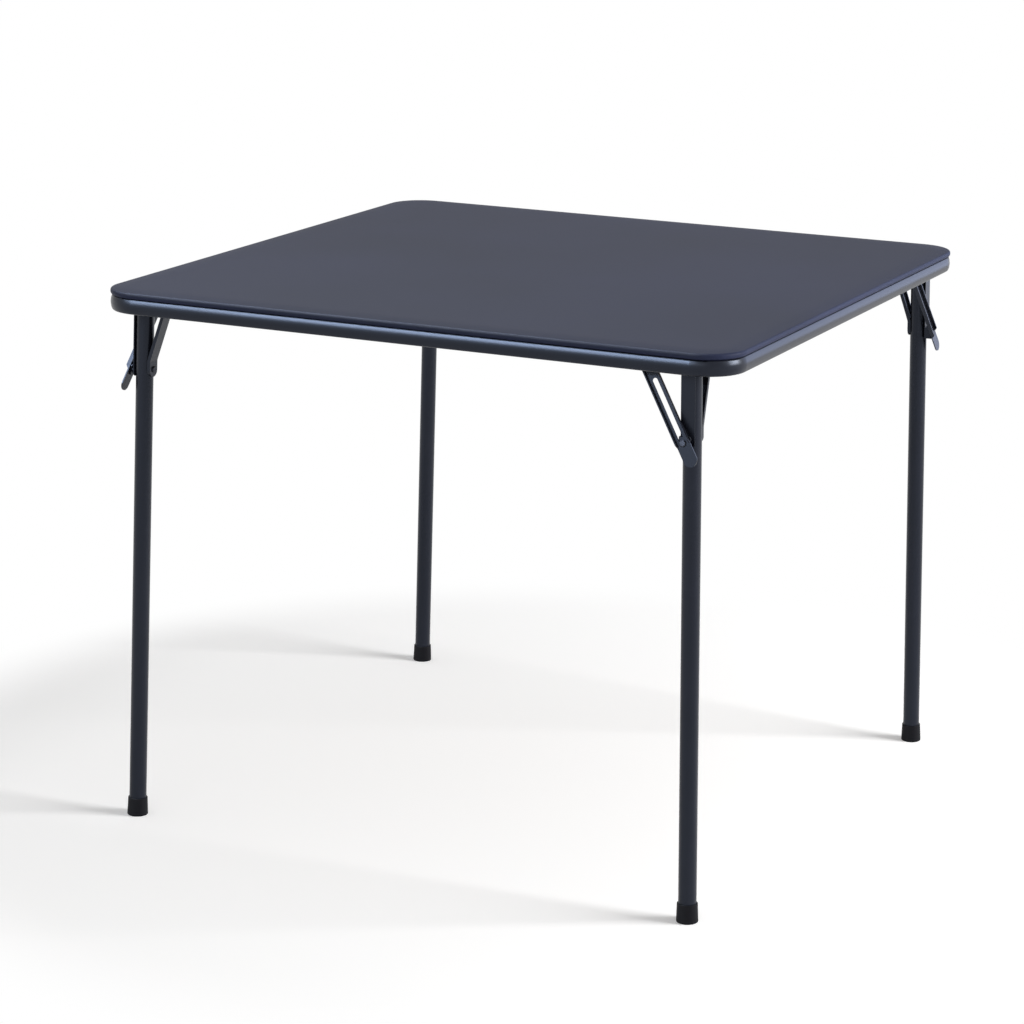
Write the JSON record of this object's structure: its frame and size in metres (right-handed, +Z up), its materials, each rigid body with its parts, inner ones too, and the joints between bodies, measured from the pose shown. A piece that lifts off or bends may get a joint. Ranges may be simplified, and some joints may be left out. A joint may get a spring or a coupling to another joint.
{
  "type": "folding card table",
  "caption": "Square folding card table with a padded vinyl top, tubular steel apron and legs that fold flat on rods, held open by slotted lock bars.",
  "frame": {"origin": "on the floor, under the middle of the square top", "axes": "+Z up; +X along the front edge to the right; +Y from the front to the back. The corners are named as seen from the front"},
  "size_m": [0.864, 0.864, 0.711],
  "materials": {
    "charcoal_vinyl": "fine-grained upholstery vinyl, satin",
    "foam": "thin sheet foam, hidden under the cover",
    "fibreboard": "smooth hard fibreboard",
    "charcoal_paint": "semi-gloss baked enamel on steel",
    "black_plastic": "moulded, matt",
    "blackened_steel": "steel rivets and rods, blackened and painted over",
    "zinc_steel": "zinc-plated steel, dull"
  },
  "bodies": {
    "table": {"top_board": "fibreboard", "foam_pad": "foam", "vinyl_cover": "charcoal_vinyl", "apron_frame": "charcoal_paint", "panel_screws": "zinc_steel", "front_left_corner_bracket": "charcoal_paint", "front_left_pivot_rod": "blackened_steel", "front_left_bar_hanger": "charcoal_paint", "front_left_bar_rivet": "blackened_steel", "front_right_corner_bracket": "charcoal_paint", "front_right_pivot_rod": "blackened_steel", "front_right_bar_hanger": "charcoal_paint", "front_right_bar_rivet": "blackened_steel", "back_right_corner_bracket": "charcoal_paint", "back_right_pivot_rod": "blackened_steel", "back_right_bar_hanger": "charcoal_paint", "back_right_bar_rivet": "blackened_steel", "back_left_corner_bracket": "charcoal_paint", "back_left_pivot_rod": "blackened_steel", "back_left_bar_hanger": "charcoal_paint", "back_left_bar_rivet": "blackened_steel"},
    "front_left_leg": {"front_left_leg_tube": "charcoal_paint", "front_left_foot_cap": "black_plastic", "front_left_lock_arm": "charcoal_paint", "front_left_lock_stud": "blackened_steel", "front_left_strut": "charcoal_paint", "front_left_leg_rivet": "blackened_steel"},
    "front_left_lock": {"front_left_lock_bar": "charcoal_paint", "front_left_slot_rivet": "blackened_steel"},
    "front_right_leg": {"front_right_leg_tube": "charcoal_paint", "front_right_foot_cap": "black_plastic", "front_right_lock_arm": "charcoal_paint", "front_right_lock_stud": "blackened_steel", "front_right_strut": "charcoal_paint", "front_right_leg_rivet": "blackened_steel"},
    "front_right_lock": {"front_right_lock_bar": "charcoal_paint", "front_right_slot_rivet": "blackened_steel"},
    "back_right_leg": {"back_right_leg_tube": "charcoal_paint", "back_right_foot_cap": "black_plastic", "back_right_lock_arm": "charcoal_paint", "back_right_lock_stud": "blackened_steel", "back_right_strut": "charcoal_paint", "back_right_leg_rivet": "blackened_steel"},
    "back_right_lock": {"back_right_lock_bar": "charcoal_paint", "back_right_slot_rivet": "blackened_steel"},
    "back_left_leg": {"back_left_leg_tube": "charcoal_paint", "back_left_foot_cap": "black_plastic", "back_left_lock_arm": "charcoal_paint", "back_left_lock_stud": "blackened_steel", "back_left_strut": "charcoal_paint", "back_left_leg_rivet": "blackened_steel"},
    "back_left_lock": {"back_left_lock_bar": "charcoal_paint", "back_left_slot_rivet": "blackened_steel"}
  },
  "joints": [
    {"name": "front_left_leg_fold", "type": "hinge", "parent": "table", "child": "front_left_leg", "pos_m": [-0.3945, -0.3705, 0.6865], "axis": [0.9848, 0, -0.1736], "range_deg": [0, 93]},
    {"name": "front_left_lock_swing", "type": "hinge", "parent": "table", "child": "front_left_lock", "pos_m": [-0.40046, -0.312, 0.69303], "axis": [0.9848, 0, -0.1736], "range_deg": [0, 121.7]},
    {"name": "front_right_leg_fold", "type": "hinge", "parent": "table", "child": "front_right_leg", "pos_m": [0.3705, -0.3945, 0.6865], "axis": [0, 0.9848, -0.1736], "range_deg": [0, 93]},
    {"name": "front_right_lock_swing", "type": "hinge", "parent": "table", "child": "front_right_lock", "pos_m": [0.312, -0.40046, 0.69303], "axis": [0, 0.9848, -0.1736], "range_deg": [0, 121.7]},
    {"name": "back_right_leg_fold", "type": "hinge", "parent": "table", "child": "back_right_leg", "pos_m": [0.3945, 0.3705, 0.6865], "axis": [-0.9848, 0, -0.1736], "range_deg": [0, 93]},
    {"name": "back_right_lock_swing", "type": "hinge", "parent": "table", "child": "back_right_lock", "pos_m": [0.40046, 0.312, 0.69303], "axis": [-0.9848, 0, -0.1736], "range_deg": [0, 121.7]},
    {"name": "back_left_leg_fold", "type": "hinge", "parent": "table", "child": "back_left_leg", "pos_m": [-0.3705, 0.3945, 0.6865], "axis": [0, -0.9848, -0.1736], "range_deg": [0, 93]},
    {"name": "back_left_lock_swing", "type": "hinge", "parent": "table", "child": "back_left_lock", "pos_m": [-0.312, 0.40046, 0.69303], "axis": [0, -0.9848, -0.1736], "range_deg": [0, 121.7]}
  ],
  "couplings": [
    {"joint": "front_left_lock_swing", "follows": "front_left_leg_fold", "ratio": 1.308},
    {"joint": "front_right_lock_swing", "follows": "front_right_leg_fold", "ratio": 1.308},
    {"joint": "back_right_lock_swing", "follows": "back_right_leg_fold", "ratio": 1.308},
    {"joint": "back_left_lock_swing", "follows": "back_left_leg_fold", "ratio": 1.308}
  ]
}
